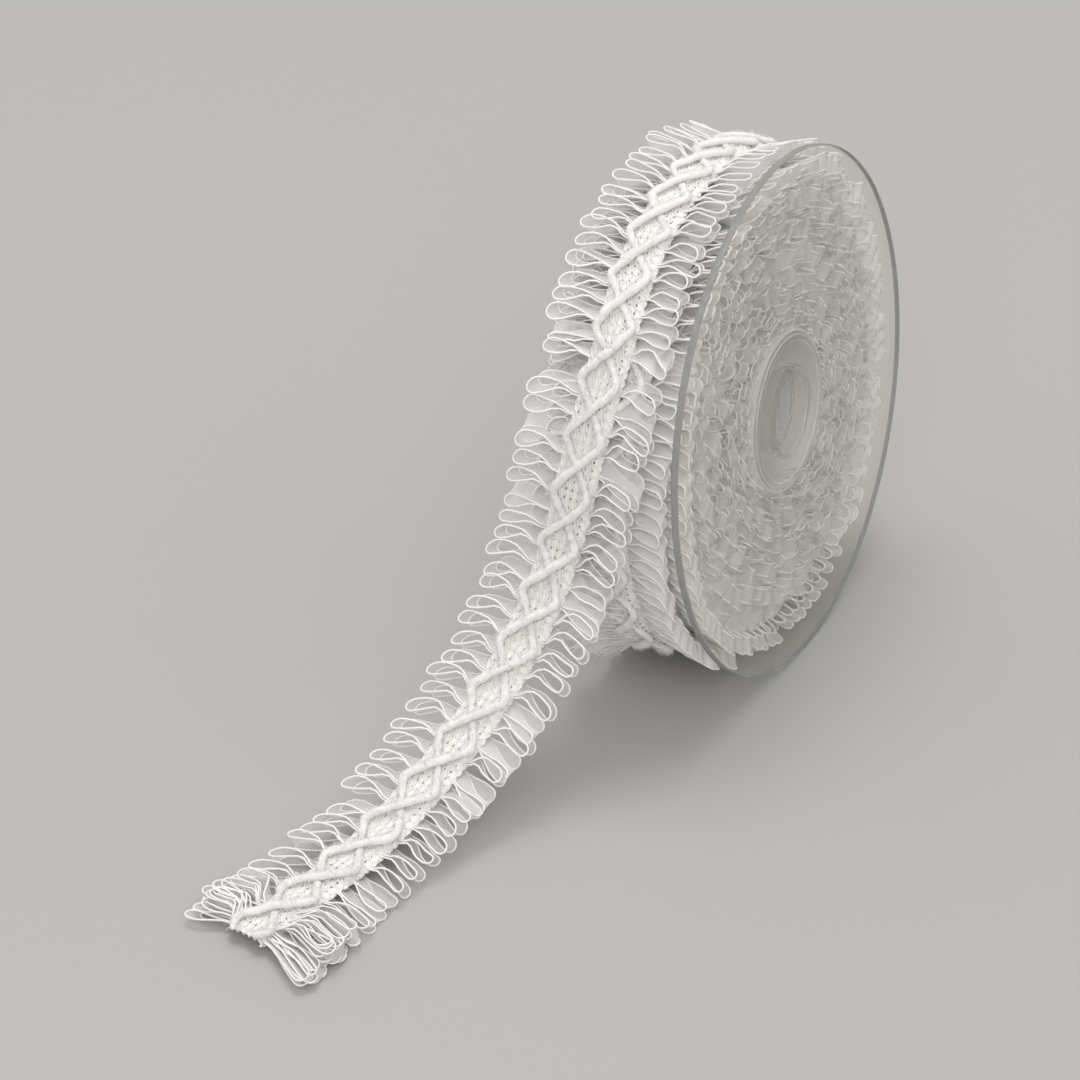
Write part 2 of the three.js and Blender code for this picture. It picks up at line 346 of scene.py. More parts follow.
# Studio, in metres and watts
FLOOR_HALF = 5.0
LIGHT_AIM = (0.0, -0.03, 0.03)
LAMPS = [
    {"name": "key", "at": (-0.2, 0.2, 1.5), "size": 0.8, "watts": 9.0},
    {"name": "fill", "at": (0.5, -1.1, 1.0), "size": 1.0, "watts": 7.0},
]
SURROUND = "#e6e4e1"
SURROUND_STRENGTH = 0.86


def ease(share):
    share = np.clip(share, 0.0, 1.0)
    return share * share * (3 - 2 * share)


def ramp(value, start, end):
    """Rises smoothly from 0 at the start to 1 at the end."""
    return ease((value - start) / (end - start))


# Places on the spool and along the trim

def leaned(points):
    """Turns points of the upright spool, whose flange foot is the origin, to how the spool stands."""
    x, y, z = np.moveaxis(np.asarray(points, float), -1, 0)
    cos, sin = math.cos(LEAN), math.sin(LEAN)
    turned = np.stack([cos * x - sin * z, y, sin * x + cos * z], -1)
    return turned + np.array(SPOOL_FOOT)


def leaned_direction(directions):
    return leaned(directions) - np.array(SPOOL_FOOT)


def around_axis(from_flange, radius, angle):
    from_flange, radius, angle = np.broadcast_arrays(from_flange, radius, angle)
    height = FLANGE_RADIUS + radius * np.cos(angle)
    return np.stack([-from_flange, -radius * np.sin(angle), height], -1)


def underside_radius(turns):
    """The spiral falls by one rise a turn, but the outermost turn keeps its radius as far as the back.
    Behind the top and below the loose end the last turns stand off, less and less towards the inside."""
    sunk = TURN_RISE * np.where(turns < 1, ramp(turns, LEVEL_FOR, 1), turns)
    radius = TURN_UNDERSIDE_RADIUS - sunk
    loose = np.clip(1 - turns / LOOSE_TURNS, 0, 1)
    for where in LOOSE_PLACES:
        turned = math.degrees(TURN_LEAVES) - 360 * turns - where["at"]
        away = np.abs((turned + 180) % 360 - 180)
        radius = radius + where["stands_off"] * loose * (1 - ease(away / where["spread"]))
    return np.maximum(radius, HUB_RADIUS + HUB_GAP)


def turn_centre(turns):
    rows = [row["turn"] for row in TURN_CENTRES]
    return np.interp(turns, rows, [row["from_flange"] for row in TURN_CENTRES])


def wound_path():
    """Underside of the wound trim from its inner end to the leaving point. Its length is measured in the
    middle of the heading, and its room is what is free on the flange's side."""
    turns = np.linspace(WOUND_TURNS, 0, PATH_STEPS)
    radius = underside_radius(turns)
    angle = TURN_LEAVES - 2 * math.pi * turns
    step = np.diff(angle) * (radius[1:] + radius[:-1] + 2 * HEADING_MIDDLE) / 2
    along = np.concatenate([[0.0], np.cumsum(step)])
    zero = np.zeros_like(angle)
    return {
        "along": along - along[-1],
        "turns": turns,
        "room": turn_centre(turns) - FLANGE_THICKNESS - FLANGE_CLEARANCE,
        "point": leaned(around_axis(turn_centre(turns), radius, angle)),
        "side": leaned_direction(np.stack([zero + 1, zero, zero], -1)),
        "up": leaned_direction(np.stack([zero, -np.sin(angle), np.cos(angle)], -1)),
    }


def smooth_curve(points, steps):
    """Centripetal Catmull-Rom curve through the points."""
    points = np.asarray(points, float)
    guides = np.vstack([2 * points[0] - points[1], points, 2 * points[-1] - points[-2]])
    stretches = []
    for first in range(len(points) - 1):
        four = guides[first:first + 4]
        knot = np.concatenate([[0.0], np.cumsum(np.linalg.norm(np.diff(four, axis=0), axis=1) ** 0.5)])
        is_last = first == len(points) - 2
        at = np.linspace(knot[1], knot[2], steps, endpoint=is_last)[:, None]

        def between(a, b, start, end):
            return ((knot[end] - at) * a + (at - knot[start]) * b) / (knot[end] - knot[start])

        lines = [between(four[i], four[i + 1], i, i + 1) for i in range(3)]
        bends = [between(lines[i], lines[i + 1], i, i + 2) for i in range(2)]
        stretches.append(between(bends[0], bends[1], 1, 2))
    return np.vstack(stretches)


def loose_end_path():
    """Underside of the loose end, with a straight run past its cut end for the loops that splay there."""
    start = leaned(around_axis(turn_centre(0.0), TURN_UNDERSIDE_RADIUS, TURN_LEAVES))
    point = smooth_curve(np.vstack([start, LOOSE_END_PATH]), CURVE_STEPS)
    last = point[-1] - point[-2]
    past_end = point[-1] + np.outer(np.arange(1, RUN_PAST_END + 1), last / np.linalg.norm(last))
    length = np.linalg.norm(np.diff(point, axis=0), axis=1).sum()
    point = np.vstack([point, past_end])
    along = np.concatenate([[0.0], np.cumsum(np.linalg.norm(np.diff(point, axis=0), axis=1))])
    tangent = np.gradient(point, along, axis=0)
    tangent /= np.linalg.norm(tangent, axis=1)[:, None]
    lean = LEAN * (1 - ease(along / length / LEAN_FADES_BY))
    side = np.stack([np.cos(lean), 0 * lean, np.sin(lean)], -1)
    side -= (side * tangent).sum(1)[:, None] * tangent
    side /= np.linalg.norm(side, axis=1)[:, None]
    path = {
        "along": along,
        "turns": 0 * along,
        "room": 0 * along + NO_FLANGE,
        "point": point,
        "side": side,
        "up": np.cross(tangent, side),
    }
    return path, length


WOUND = wound_path()
LOOSE, LOOSE_LENGTH = loose_end_path()
PATH = {key: np.concatenate([WOUND[key], LOOSE[key][1:]]) for key in WOUND}


def look_up(key, along):
    rows = PATH[key]
    if rows.ndim == 1:
        return np.interp(along, PATH["along"], rows)
    return np.stack([np.interp(along, PATH["along"], rows[:, axis]) for axis in range(3)], -1)


def place(along, across, height):
    """Points of the trim, kept off the flange and above the floor."""
    along, across, height = np.broadcast_arrays(along, across, height)
    across = np.minimum(across, look_up("room", along))
    point = look_up("point", along)
    point = point + across[..., None] * look_up("side", along) + height[..., None] * look_up("up", along)
    point[..., 2] = np.maximum(point[..., 2], FLOOR_GAP)
    return point


def diamond_counts():
    """How many diamonds of the heading lie before each place; the loose end is pulled a little longer."""
    along = PATH["along"]
    length = np.interp(along, [STRETCH_FROM, STRETCH_TO], [DIAMOND_LENGTH_WOUND, DIAMOND_LENGTH_AT_END])
    count = np.concatenate([[0.0], np.cumsum(np.diff(along) / ((length[1:] + length[:-1]) / 2))])
    return count - np.interp(0.0, along, count) + DIAMONDS_BEFORE_LEAVING


DIAMONDS = diamond_counts()


def diamonds_at(along):
    return np.interp(along, PATH["along"], DIAMONDS)


def along_at_diamond(count):
    return np.interp(count, DIAMONDS, PATH["along"])


# Mesh making: a sheet of points becomes quads with a map of millimetres along and a share across

def grid(points, along_mm, closed_across=False, closed_along=False, across=None):
    """points is lines x steps x across x 3, and along_mm lines x steps; across replaces the share across."""
    lines, steps, width = points.shape[:3]
    index = np.arange(lines * steps * width).reshape(lines, steps, width)
    column = np.arange(width if closed_across else width - 1)
    run = np.arange(steps if closed_along else steps - 1)
    run_next, column_next = (run + 1) % steps, (column + 1) % width
    corners = [
        index[:, run][:, :, column],
        index[:, run][:, :, column_next],
        index[:, run_next][:, :, column_next],
        index[:, run_next][:, :, column],
    ]
    shape = corners[0].shape
    spread = width if closed_across else width - 1
    near, far = column / spread, (column + 1) / spread
    if across is not None:
        near, far = across[column], across[column_next]
    near, far = np.broadcast_to(near, shape), np.broadcast_to(far, shape)
    step_mm = np.diff(along_mm, axis=1, append=2 * along_mm[:, -1:] - along_mm[:, -2:-1])
    start = np.broadcast_to(along_mm[:, run][:, :, None], shape)
    end = start + step_mm[:, run][:, :, None]
    uv = [np.stack(pair, -1) for pair in ((start, near), (start, far), (end, far), (end, near))]
    return {
        "points": points.reshape(-1, 3),
        "quads": np.stack(corners, -1).reshape(-1, 4),
        "uv": np.stack(uv, -2).reshape(-1, 4, 2),
    }


def run_length(points):
    """Millimetres along each line of points."""
    step = np.linalg.norm(np.diff(points, axis=1), axis=-1)
    return np.concatenate([np.zeros((len(points), 1)), np.cumsum(step, axis=1)], axis=1)


def tube(points, up, radius, sides, lobes=0, lobe_depth=0.0, twist_length=1.0, flatten=1.0, seal=False):
    """Round or lobed tubes along lines of points (lines x steps x 3); seal draws their ends in."""
    tangent = np.gradient(points, axis=1)
    tangent /= np.linalg.norm(tangent, axis=-1, keepdims=True)
    side = np.cross(tangent, up)
    side /= np.linalg.norm(side, axis=-1, keepdims=True)
    lift = np.cross(side, tangent)
    run = run_length(points)
    turn = np.linspace(0, 2 * math.pi, sides, endpoint=False)
    wave = np.cos(lobes * turn[None, None, :] - 2 * math.pi * run[..., None] / twist_length)
    reach = np.asarray(radius) * (1 + lobe_depth * wave)
    if seal:
        reach = reach.copy()
        reach[:, [0, -1]] *= TIP_SHARE
        reach[:, [1, -2]] *= SHOULDER_SHARE
    ring = points[:, :, None, :] + reach[..., None] * (
        np.cos(turn)[None, None, :, None] * side[:, :, None, :]
        + flatten * np.sin(turn)[None, None, :, None] * lift[:, :, None, :]
    )
    return grid(ring, run, closed_across=True)


def make_piece(name, grids, material):
    """Joins grids into one mesh object that belongs to the object's only body."""
    counts = np.cumsum([0] + [len(part["points"]) for part in grids])
    points = np.concatenate([part["points"] for part in grids]) * MM
    quads = np.concatenate([part["quads"] + start for part, start in zip(grids, counts)])
    uv = np.concatenate([part["uv"] for part in grids])
    mesh = bpy.data.meshes.new(name)
    mesh.vertices.add(len(points))
    mesh.vertices.foreach_set("co", points.astype(np.float32).ravel())
    mesh.loops.add(quads.size)
    mesh.loops.foreach_set("vertex_index", quads.astype(np.int32).ravel())
    mesh.polygons.add(len(quads))
    mesh.polygons.foreach_set("loop_start", np.arange(0, quads.size, 4, dtype=np.int32))
    mesh.polygons.foreach_set("use_smooth", np.ones(len(quads), dtype=bool))
    mesh.update(calc_edges=True)
    layer = mesh.uv_layers.new(name="thread_run")
    layer.data.foreach_set("uv", uv.astype(np.float32).ravel())
    mesh.materials.append(material)
    piece = bpy.data.objects.new(name, mesh)
    bpy.context.scene.collection.objects.link(piece)
    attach(piece, "root")
    return piece


# Materials

def linear(hex_colour):
    """sRGB hex to linear RGBA."""
    values = [int(hex_colour[i:i + 2], 16) / 255 for i in (1, 3, 5)]
    return [v / 12.92 if v <= 0.04045 else ((v + 0.055) / 1.055) ** 2.4 for v in values] + [1.0]


def add_node(tree, kind, settings=None, links=None):
    """Adds a node; settings are sockets by name or number, or the node's own options; links are sockets."""
    node = tree.nodes.new(kind)
    for key, value in (settings or {}).items():
        if isinstance(key, int) or key in node.inputs:
            node.inputs[key].default_value = value
        else:
            setattr(node, key, value)
    for key, source in (links or {}).items():
        tree.links.new(source, node.inputs[key])
    return node


def new_material(name):
    material = bpy.data.materials.new(name)
    material.use_nodes = True
    material.node_tree.nodes.clear()
    return material, material.node_tree


def finish_material(tree, surface):
    add_node(tree, "ShaderNodeOutputMaterial", links={"Surface": surface})


def thread_run(tree):
    """Sockets with the millimetres along a thread and the share across it."""
    run = add_node(tree, "ShaderNodeUVMap", {"uv_map": "thread_run"})
    parts = add_node(tree, "ShaderNodeSeparateXYZ", links={0: run.outputs["UV"]})
    return parts.outputs["X"], parts.outputs["Y"]


def patches(tree, size_mm, detail):
    """Socket with soft random patches of a real size."""
    place_in = add_node(tree, "ShaderNodeTexCoord")
    noise = add_node(
        tree, "ShaderNodeTexNoise",
        {"Scale": 1 / (size_mm * MM), "Detail": detail},
        {"Vector": place_in.outputs["Object"]},
    )
    return noise.outputs["Fac"]


def waves(count):
    """What a length or share is multiplied by to give the angle of so many waves."""
    return 2 * math.pi * count


def organza(name, thin, thick, rib_relief):
    """Sheer woven polyester organza: a stiff see-through cloth with fine ribs across its length. thin and
    thick are how much it covers between its ribs and on them. Real ribs are 0.19 mm apart, drawn at 0.27 mm
    so that they show. Its white is clouded as finely as its threads, 0.07 mm."""
    rib_spacing = 0.27
    threads_across = 9
    thread_share = 0.5
    material, tree = new_material(name)
    along, across = thread_run(tree)
    turn = add_node(tree, "ShaderNodeMath", {"operation": "MULTIPLY", 1: waves(1 / rib_spacing)}, {0: along})
    rib = add_node(tree, "ShaderNodeMath", {"operation": "SINE"}, {0: turn.outputs[0]})
    turn = add_node(tree, "ShaderNodeMath", {"operation": "MULTIPLY", 1: waves(threads_across)}, {0: across})
    thread = add_node(tree, "ShaderNodeMath", {"operation": "SINE"}, {0: turn.outputs[0]})
    weave = add_node(
        tree, "ShaderNodeMath",
        {"operation": "MULTIPLY_ADD", 1: thread_share},
        {0: thread.outputs[0], 2: rib.outputs[0]},
    )
    most = 1 + thread_share
    cover = add_node(
        tree, "ShaderNodeMapRange",
        {"From Min": -most, "From Max": most, "To Min": thin, "To Max": thick},
        {"Value": weave.outputs[0]},
    )
    tone = add_node(
        tree, "ShaderNodeMix",
        {"data_type": "RGBA", "A": linear("#efeeee"), "B": linear("#fcfbfa")},
        {"Factor": patches(tree, size_mm=0.07, detail=2.0)},
    )
    bump = add_node(
        tree, "ShaderNodeBump",
        {"Strength": rib_relief, "Distance": 0.03 * MM},
        {"Height": weave.outputs[0]},
    )
    cloth = add_node(
        tree, "ShaderNodeBsdfPrincipled",
        {"Roughness": 0.42, "Sheen Weight": 0.3, "Sheen Roughness": 0.4, "Specular IOR Level": 0.35},
        {"Base Color": tone.outputs["Result"], "Alpha": cover.outputs[0], "Normal": bump.outputs[0]},
    )
    finish_material(tree, cloth.outputs[0])
    return material


def yarn(name, dark, pale, strand_spacing, turns_round, strand_share, roughness, relief_mm):
    """Spun or filament polyester yarn: matt white, with strands that run round it on a slant, painted darker
    in the grooves between them as painted shade. Its fibres, 0.025 mm thick, don't show one by one but give
    the white its soft, slightly uneven look."""
    material, tree = new_material(name)
    along, across = thread_run(tree)
    turn = add_node(
        tree, "ShaderNodeMath",
        {"operation": "MULTIPLY", 1: waves(1 / strand_spacing)},
        {0: along},
    )
    slant = add_node(
        tree, "ShaderNodeMath",
        {"operation": "MULTIPLY_ADD", 1: waves(turns_round)},
        {0: across, 2: turn.outputs[0]},
    )
    strand = add_node(tree, "ShaderNodeMath", {"operation": "SINE"}, {0: slant.outputs[0]})
    relief = add_node(
        tree, "ShaderNodeMath",
        {"operation": "MULTIPLY_ADD", 1: strand_share},
        {0: strand.outputs[0], 2: patches(tree, size_mm=0.025, detail=3.0)},
    )
    # The colour follows the relief: painted shade darkens the grooves between strands, and the fibres cloud it
    # at random.
    shade = add_node(
        tree, "ShaderNodeMapRange",
        {"From Min": -0.1, "From Max": 1.0, "To Min": 0.0, "To Max": 1.0},
        {"Value": relief.outputs[0]},
    )
    tone = add_node(
        tree, "ShaderNodeMix",
        {"data_type": "RGBA", "A": linear(dark), "B": linear(pale)},
        {"Factor": shade.outputs[0]},
    )
    bump = add_node(
        tree, "ShaderNodeBump",
        {"Strength": 0.6, "Distance": relief_mm * MM},
        {"Height": relief.outputs[0]},
    )
    fibre = add_node(
        tree, "ShaderNodeBsdfPrincipled",
        {"Roughness": roughness, "Sheen Weight": 0.35, "Sheen Roughness": 0.5, "Specular IOR Level": 0.3},
        {"Base Color": tone.outputs["Result"], "Normal": bump.outputs[0]},
    )
    finish_material(tree, fibre.outputs[0])
    return material


def clear_polystyrene():
    """Clear injection-moulded polystyrene: glossy and see-through, with faint ripples 6.25 mm long. Its rim
    and rounded edges are painted grey and less clear, painted shade that stands in for the light bent in a
    clear edge. The bend of light is set low, because a thin disc shows what is behind it straight; the coat
    gives the shine. Thin clear plastic casts almost no shadow."""
    material, tree = new_material("clear moulded polystyrene")
    bump = add_node(
        tree, "ShaderNodeBump",
        {"Strength": 0.04, "Distance": 0.2 * MM},
        {"Height": patches(tree, size_mm=6.25, detail=1.0)},
    )
    # The share across the map is the painted edge shade from the moulding: there the plastic is painted grey
    # and made less clear.
    _, edge = thread_run(tree)
    clearness = add_node(tree, "ShaderNodeMapRange", {"To Min": 0.97, "To Max": 0.25}, {"Value": edge})
    tone = add_node(
        tree, "ShaderNodeMix",
        {"data_type": "RGBA", "A": linear("#f7f6f2"), "B": linear("#939394")},
        {"Factor": edge},
    )
    surface = {
        "Base Color": tone.outputs["Result"],
        "Transmission Weight": clearness.outputs[0],
        "Normal": bump.outputs[0],
    }
    plastic = add_node(
        tree, "ShaderNodeBsdfPrincipled",
        {"Roughness": 0.03, "IOR": 1.07, "Coat Weight": 0.45, "Coat IOR": 1.59, "Coat Roughness": 0.04},
        surface,
    )
    through = add_node(tree, "ShaderNodeBsdfTransparent", {"Color": linear("#f0f2f3")})
    path = add_node(tree, "ShaderNodeLightPath")
    mix = add_node(
        tree, "ShaderNodeMixShader",
        links={0: path.outputs["Is Shadow Ray"], 1: plastic.outputs[0], 2: through.outputs[0]},
    )
    finish_material(tree, mix.outputs[0])
    return material


def clear_tube_wall():
    """The same clear polystyrene in the hub's tube, which is seen along its wall: a faint grey film, greyer at
    its two ends, painted shade that stands in for the light bent in the clear wall."""
    material, tree = new_material("clear moulded polystyrene tube")
    _, edge = thread_run(tree)
    # More cover at the rounded ends is the same painted shade, set by the share across the map.
    cover = add_node(tree, "ShaderNodeMapRange", {"To Min": 0.07, "To Max": 0.6}, {"Value": edge})
    film = add_node(
        tree, "ShaderNodeBsdfPrincipled",
        {"Base Color": linear("#e2e1df"), "Roughness": 0.1, "IOR": 1.59},
        {"Alpha": cover.outputs[0]},
    )
    finish_material(tree, film.outputs[0])
    return material


def net_ground():
    """Open warp-knitted polyester ground: white yarn of 0.03 mm fibres with a small hole in each stitch, the
    holes 1.2 mm apart."""
    hole_spacing = 1.2
    holes_across = 6
    material, tree = new_material("warp-knitted ground")
    along, across = thread_run(tree)
    turn = add_node(
        tree, "ShaderNodeMath",
        {"operation": "MULTIPLY", 1: waves(1 / hole_spacing)},
        {0: along},
    )
    long_wave = add_node(tree, "ShaderNodeMath", {"operation": "COSINE"}, {0: turn.outputs[0]})
    turn = add_node(tree, "ShaderNodeMath", {"operation": "MULTIPLY", 1: waves(holes_across)}, {0: across})
    side_wave = add_node(tree, "ShaderNodeMath", {"operation": "COSINE"}, {0: turn.outputs[0]})
    both = add_node(
        tree, "ShaderNodeMath",
        {"operation": "ADD"},
        {0: long_wave.outputs[0], 1: side_wave.outputs[0]},
    )
    cover = add_node(
        tree, "ShaderNodeMapRange",
        {"From Min": 1.3, "From Max": 1.6, "To Min": 1.0, "To Max": 0.2},
        {"Value": both.outputs[0]},
    )
    fibres = patches(tree, size_mm=0.03, detail=3.0)
    tone = add_node(
        tree, "ShaderNodeMix",
        {"data_type": "RGBA", "A": linear("#efeeeb"), "B": linear("#fcfbf9")},
        {"Factor": fibres},
    )
    bump = add_node(tree, "ShaderNodeBump", {"Strength": 0.5, "Distance": 0.1 * MM}, {"Height": fibres})
    knit = add_node(
        tree, "ShaderNodeBsdfPrincipled",
        {"Roughness": 0.8, "Sheen Weight": 0.3, "Specular IOR Level": 0.25},
        {"Base Color": tone.outputs["Result"], "Alpha": cover.outputs[0], "Normal": bump.outputs[0]},
    )
    finish_material(tree, knit.outputs[0])
    return material


def floor_paper():
    """Matt pale studio paper with a faint tooth of 1.43 mm."""
    material, tree = new_material("pale studio paper")
    tooth = patches(tree, size_mm=1.43, detail=3.0)
    bump = add_node(tree, "ShaderNodeBump", {"Strength": 0.05, "Distance": 0.2 * MM}, {"Height": tooth})
    paper = add_node(
        tree, "ShaderNodeBsdfPrincipled",
        {"Base Color": linear("#b0afac"), "Roughness": 0.9, "Specular IOR Level": 0.2},
        {"Normal": bump.outputs[0]},
    )
    finish_material(tree, paper.outputs[0])
    return material


# One ribbon in three states: loose, wound, and packed in the roll, where its many layers add up
ORGANZA = organza("polyester organza", thin=0.3, thick=0.5, rib_relief=0.2)
WOUND_ORGANZA = organza("wound polyester organza", thin=0.44, thick=0.6, rib_relief=0.2)
PACKED_ORGANZA = organza("packed polyester organza", thin=0.24, thick=0.36, rib_relief=0.1)

# Smooth, so that it draws the outline of a loop
RIBBON_EDGE = yarn(
    "polyester edge cord", "#f1f0ee", "#fdfcfa",
    strand_spacing=0.5, turns_round=1, strand_share=0.4, roughness=0.5, relief_mm=0.02,
)

# Soft and matt, its strands almost hidden by its fibres
HEADING_CORD = yarn(
    "soft polyester cord", "#f0efec", "#fdfcfa",
    strand_spacing=0.42, turns_round=3, strand_share=0.12, roughness=0.9, relief_mm=0.09,
)

# Fine and matt, with its twist showing
KNIT_YARN = yarn(
    "polyester knitting yarn", "#efeeeb", "#fcfbf8",
    strand_spacing=0.45, turns_round=2, strand_share=0.4, roughness=0.8, relief_mm=0.02,
)

# Single fibres that catch the light round the cords
FUZZ = yarn(
    "loose cord fibres", "#f2f1ef", "#fdfcfb",
    strand_spacing=0.5, turns_round=1, strand_share=0.4, roughness=0.7, relief_mm=0.005,
)

# Layers of trim behind the loops, ridged, and greyer than the rest of the trim: painted shade for their lying
# deep in the roll
SHADED_CORE_YARN = yarn(
    "wound polyester yarn with painted shade", "#e6e4e1", "#f9f8f5",
    strand_spacing=0.8, turns_round=30, strand_share=0.45, roughness=0.85, relief_mm=0.2,
)
GROUND = net_ground()
CLEAR_PLASTIC = clear_polystyrene()
CLEAR_TUBE = clear_tube_wall()


# Spool

def rounded(corners, radius, steps):
    """A closed outline with its corners rounded, and a point beside each round to keep the faces flat."""
    corners = np.asarray(corners, float)
    outline = []
    for index, corner in enumerate(corners):
        before, after = corners[index - 1], corners[(index + 1) % len(corners)]
        back = (before - corner) / np.linalg.norm(before - corner)
        ahead = (after - corner) / np.linalg.norm(after - corner)
        start, end = corner + back * radius, corner + ahead * radius
        outline.append(corner + back * radius * BESIDE_ROUND)
        for share in np.linspace(0, 1, steps):
            bend = (1 - share) ** 2 * start + 2 * share * (1 - share) * corner + share ** 2 * end
            outline.append(bend)
        outline.append(corner + ahead * radius * BESIDE_ROUND)
    return np.array(outline)


def moulding(name, corners, painted_shade_at_rounds, material):
    """A turned piece of the spool: corners are radius and distance from the flange's outer face."""
    section = rounded(corners, EDGE_ROUND, ROUND_STEPS)
    radius, from_flange = section[:, 0], section[:, 1]
    # The map's share across carries the painted shade: 1 on the rim, the given share on the rounds, 0 on the
    # flat faces.
    is_rim = radius > FLANGE_RADIUS - RIM_DEPTH
    is_round = np.tile([False] + [True] * ROUND_STEPS + [False], len(corners))
    painted_edge_shade = np.where(is_rim, 1.0, np.where(is_round, painted_shade_at_rounds, 0.0))
    angle = np.linspace(0, 2 * math.pi, SPOOL_STEPS, endpoint=False)
    points = leaned(around_axis(from_flange[None, :], radius[None, :], angle[:, None]))
    run = (angle * FLANGE_RADIUS)[None, :]
    surface = grid(points[None], run, True, True, across=painted_edge_shade)
    return make_piece(name, [surface], material)


def clear_spool():
    """The flange with the collar round its spindle hole, and the hub's tube behind it."""
    bore = HUB_RADIUS - HUB_WALL
    collar = SPINDLE_RADIUS + COLLAR_WIDTH
    web = FLANGE_THICKNESS + COLLAR_DEPTH
    seat = FLANGE_THICKNESS + TUBE_SEAT_GAP
    flange_corners = [
        (SPINDLE_RADIUS, 0),
        (FLANGE_RADIUS, 0),
        (FLANGE_RADIUS, FLANGE_THICKNESS),
        (collar, FLANGE_THICKNESS),
        (collar, web),
        (SPINDLE_RADIUS, web),
    ]
    tube_corners = [(HUB_RADIUS, seat), (HUB_RADIUS, HUB_END), (bore, HUB_END), (bore, seat)]
    flange = moulding("clear_spool", flange_corners, FLANGE_ROUND_PAINTED_SHADE, CLEAR_PLASTIC)
    moulding("hub_tube", tube_corners, TUBE_ROUND_PAINTED_SHADE, CLEAR_TUBE)
    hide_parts("spool")


# Ribbon loops

def loop_outline(loops, leg_steps, tip_steps):
    """Lower and upper edge of each loop's ribbon as along, across and height, loops x points."""
    column = {key: np.asarray(value, float)[:, None] for key, value in loops.items()}
    root, reach, half, neck = (column[key] for key in ("root", "reach", "half", "neck"))
    leg = np.linspace(0, 1, leg_steps, endpoint=False)
    turn = np.linspace(-math.pi / 2, math.pi / 2, tip_steps)
    leg_across = root + leg * (reach - half - root)
    leg_off = neck + (half - neck) * ramp(leg, column["pinch"], column["belly"])
    tip_across = reach - half + half * np.cos(turn)
    tip_off = half * np.sin(turn)
    out = np.concatenate([leg_across, tip_across, leg_across[:, ::-1]], axis=1)
    off = np.concatenate([-leg_off, tip_off, leg_off[:, ::-1]], axis=1)
    share = (out - root) / (reach - root)
    bend = column["wave"] * np.sin(waves(WAVES_IN_LOOP) * share + column["wave_start"]) * share
    along = column["middle"] + off + column["sweep"] * share ** SWEEP_POWER + bend
    height = column["base"] + column["flare"] * share ** FLARE_POWER
    lean = column["root_lean"] + (column["lean"] - column["root_lean"]) * ease(share / LEAN_REACHED_AT)
    lean, tilt = np.radians(lean), np.radians(column["tilt"] * share)
    low = (along, column["side"] * out, height)
    high = (
        along + RIBBON_WIDTH * np.sin(lean) * np.cos(tilt),
        column["side"] * (out + RIBBON_WIDTH * np.sin(tilt)),
        height + RIBBON_WIDTH * np.cos(lean) * np.cos(tilt),
    )
    return low, high


def ribbon_pieces(name, loops, steps, is_one_run, cloth):
    """The ribbon's face and its two corded edges. is_one_run joins the loops in their order."""
    low, high = loop_outline(loops, steps["leg"], steps["tip"])
    low, high = place(*low), place(*high)
    if is_one_run:
        low, high = low.reshape(1, -1, 3), high.reshape(1, -1, 3)
    face = grid(np.stack([low, high], axis=2), run_length((low + high) / 2))
    edges = [tube(edge, high - low, RIBBON_EDGE_RADIUS, steps["edge_sides"]) for edge in (low, high)]
    return [
        make_piece(name, [face], cloth),
        make_piece(name + "_edges", edges, RIBBON_EDGE),
    ]


def loop_reach(middle, turns, is_left, shorter_by):
    """Loops on the roll stop short of the flange and the hub's end; right ones lengthen at the cut end."""
    centre = turn_centre(turns)
    reach = LOOP_REACH - shorter_by
    right_room = centre - FLANGE_THICKNESS - FLANGE_MARGIN
    room = np.where(is_left, HUB_END - HUB_END_MARGIN - centre, right_room)
    reach = np.where(turns > 0, np.minimum(reach, room), reach)
    longer = RIGHT_LONGER_AT_END * ramp(middle - LOOSE_LENGTH, *LOOPS_LENGTHEN)
    return reach + np.where(is_left, 0.0, longer)


def loops_lying_flat(turns, is_left, flat):
    """A few loops lie flat: more on the right of the loose end, and of the second turn, which the outermost
    one presses down except where it hangs."""
    is_pressed = (turns > 1) & (np.abs(turns - SECOND_TURN_HANGS_AT) > SECOND_TURN_HANGS_FOR)
    share = np.where(is_left | (turns > 0), FLAT_SHARE["usual"], FLAT_SHARE["loose_right"])
    return flat < np.where(is_pressed & ~is_left, FLAT_SHARE["second_right"], share)


def loop_sweep(middle, turns, is_left, near_end):
    """How far the loops point towards the cut end, as a share of their length."""
    left = SWEEP["left"] + SWEEP["left_grows"] * ramp(middle, *LEFT_SWEEP_GROWS)
    leaving = ease(1 - np.abs(turns - LEAVING_AT) / LEAVING_SPREAD)
    right = SWEEP["right"] + SWEEP["right_leaving"] * leaving + SWEEP["right_at_end"] * near_end
    return np.where(is_left, left, right)


